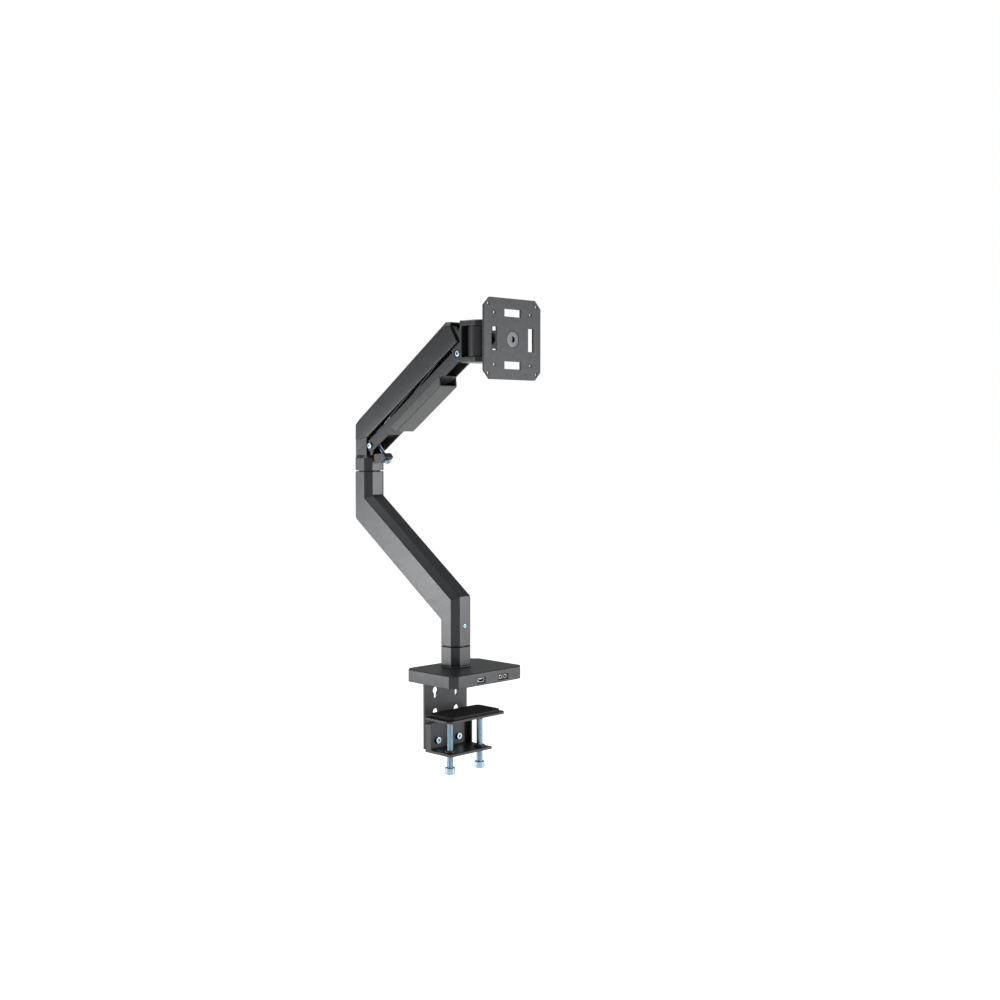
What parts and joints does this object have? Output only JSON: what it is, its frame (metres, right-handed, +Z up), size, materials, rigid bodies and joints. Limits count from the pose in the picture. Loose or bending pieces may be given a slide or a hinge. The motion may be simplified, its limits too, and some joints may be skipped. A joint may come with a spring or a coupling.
{
  "type": "monitor arm",
  "caption": "Desk-clamped spring monitor arm: cranked lower arm, parallel-link upper arm and a panning, tilting, turning mounting plate.",
  "frame": {"origin": "swivel axis of the base where it meets the desk surface", "axes": "+X towards the user and the display, +Z up, the arm lies in the XZ plane"},
  "size_m": [0.348, 0.15, 0.7125],
  "materials": {
    "housing_paint": "satin",
    "arm_paint": "satin",
    "steel_paint": "satin",
    "zinc": "satin",
    "bare_steel": "satin",
    "black_plastic": "matte",
    "shell_plastic": "satin",
    "washer_plastic": "matte",
    "pad_rubber": "matte",
    "board_green": "satin",
    "socket_metal": "satin"
  },
  "bodies": {
    "base": {"base_housing": "housing_paint", "base_pad": "pad_rubber", "hub_board": "board_green", "usb_socket": "black_plastic", "audio_sockets": "black_plastic", "clamp_back_plate": "steel_paint", "base_screw_1": "zinc", "base_screw_2": "zinc", "clamp_jaw": "steel_paint", "jaw_screw_left": "zinc", "jaw_screw_right": "zinc", "jaw_nut_bar": "zinc", "base_post": "arm_paint", "base_spindle": "bare_steel", "base_thrust_washer": "washer_plastic"},
    "press": {"pressing_plate": "steel_paint", "pressing_pad": "pad_rubber"},
    "bolt_left": {"clamp_bolt_left": "zinc"},
    "bolt_right": {"clamp_bolt_right": "zinc"},
    "lower_arm": {"lower_arm": "arm_paint", "lower_arm_cover": "shell_plastic", "base_bush_low": "washer_plastic", "base_bush_high": "washer_plastic", "elbow_bush_high": "washer_plastic", "elbow_bush_low": "washer_plastic", "base_lock_screw": "zinc", "elbow_lock_screw": "zinc", "elbow_thrust_washer": "washer_plastic"},
    "elbow": {"elbow_bracket": "arm_paint", "elbow_spindle": "bare_steel", "elbow_pivot_pin": "bare_steel", "elbow_link_screw_left": "zinc", "elbow_link_screw_right": "zinc", "anchor_lug": "black_plastic"},
    "tension_screw": {"tension_screw": "zinc"},
    "carriage": {"spring_carriage": "bare_steel"},
    "upper_link": {"upper_link": "steel_paint", "strut_pin": "bare_steel", "upper_cover": "arm_paint", "cover_screw": "zinc"},
    "lower_link": {"lower_link": "steel_paint", "cable_cover": "shell_plastic"},
    "strut": {"strut_cylinder": "black_plastic"},
    "strut_rod": {"strut_rod": "bare_steel"},
    "tip": {"tip_bracket": "arm_paint", "tip_pivot_pin": "bare_steel", "tip_link_screw_left": "zinc", "tip_link_screw_right": "zinc", "pan_bolt": "zinc", "pan_washer_low": "washer_plastic", "pan_washer_high": "washer_plastic"},
    "head": {"head_knuckle": "arm_paint"},
    "tilt": {"tilt_yoke": "steel_paint", "tilt_bolt": "zinc", "tilt_nut": "zinc", "tilt_washer_left": "washer_plastic", "tilt_washer_right": "washer_plastic", "turn_spindle": "zinc", "turn_washer": "washer_plastic"},
    "vesa": {"vesa_plate": "steel_paint"}
  },
  "joints": [
    {"name": "base_swivel", "type": "hinge", "parent": "base", "child": "lower_arm", "pos_m": [0, 0, 0.052], "axis": [0, 0, 1], "range_deg": [-180, 180]},
    {"name": "elbow_swivel", "type": "hinge", "parent": "lower_arm", "child": "elbow", "pos_m": [-0.205, 0, 0.315], "axis": [0, 0, 1], "range_deg": [-180, 180]},
    {"name": "arm_lift", "type": "hinge", "parent": "elbow", "child": "upper_link", "pos_m": [-0.199, 0, 0.388], "axis": [0, 1, 0], "range_deg": [-16, 64]},
    {"name": "lower_link_swing", "type": "hinge", "parent": "elbow", "child": "lower_link", "pos_m": [-0.1865, 0, 0.357], "axis": [0, 1, 0], "range_deg": [-16, 64]},
    {"name": "tip_level", "type": "hinge", "parent": "upper_link", "child": "tip", "pos_m": [0.00826, 0, 0.5278], "axis": [0, 1, 0], "range_deg": [-64, 16]},
    {"name": "strut_swing", "type": "hinge", "parent": "upper_link", "child": "strut", "pos_m": [-0.03319, 0, 0.49984], "axis": [0, 1, 0], "range_deg": [-1, 2]},
    {"name": "strut_stroke", "type": "slide", "parent": "strut", "child": "strut_rod", "axis": [0.7785, 0, 0.6276], "range_m": [-0.006, 0.02]},
    {"name": "tension_turn", "type": "hinge", "parent": "elbow", "child": "tension_screw", "pos_m": [-0.193, 0, 0.371], "axis": [-0.6561, 0, 0.7547], "range_deg": [-545, 545]},
    {"name": "carriage_slide", "type": "slide", "parent": "elbow", "child": "carriage", "axis": [-0.6561, 0, 0.7547], "range_m": [-0.0015, 0.0015]},
    {"name": "head_pan", "type": "hinge", "parent": "tip", "child": "head", "pos_m": [0.054, 0, 0.5135], "axis": [0, 0, 1], "range_deg": [-90, 90]},
    {"name": "head_tilt", "type": "hinge", "parent": "head", "child": "tilt", "pos_m": [0.094, 0, 0.5135], "axis": [0, 1, 0], "range_deg": [-45, 45]},
    {"name": "vesa_turn", "type": "hinge", "parent": "tilt", "child": "vesa", "pos_m": [0.119, 0, 0.5135], "axis": [1, 0, 0], "range_deg": [-90, 90]},
    {"name": "press_slide", "type": "slide", "parent": "base", "child": "press", "axis": [0, 0, 1], "range_m": [-0.015, 0.018]},
    {"name": "bolt_left_turn", "type": "hinge", "parent": "press", "child": "bolt_left", "pos_m": [0.02, -0.031, -0.059], "axis": [0, 0, 1], "range_deg": [-3700, 4400]},
    {"name": "bolt_right_turn", "type": "hinge", "parent": "press", "child": "bolt_right", "pos_m": [0.02, 0.031, -0.059], "axis": [0, 0, 1], "range_deg": [-3700, 4400]}
  ],
  "couplings": [
    {"joint": "lower_link_swing", "follows": "arm_lift", "ratio": 1},
    {"joint": "tip_level", "follows": "arm_lift", "ratio": -1},
    {"joint": "strut_swing", "follows": "arm_lift", "ratio": 0.0095},
    {"joint": "strut_stroke", "follows": "arm_lift", "m_per_rad": 0.017},
    {"joint": "tension_turn", "follows": "carriage_slide", "rad_per_m": 6283.2},
    {"joint": "bolt_left_turn", "follows": "press_slide", "rad_per_m": 4188.8},
    {"joint": "bolt_right_turn", "follows": "press_slide", "rad_per_m": 4188.8}
  ]
}
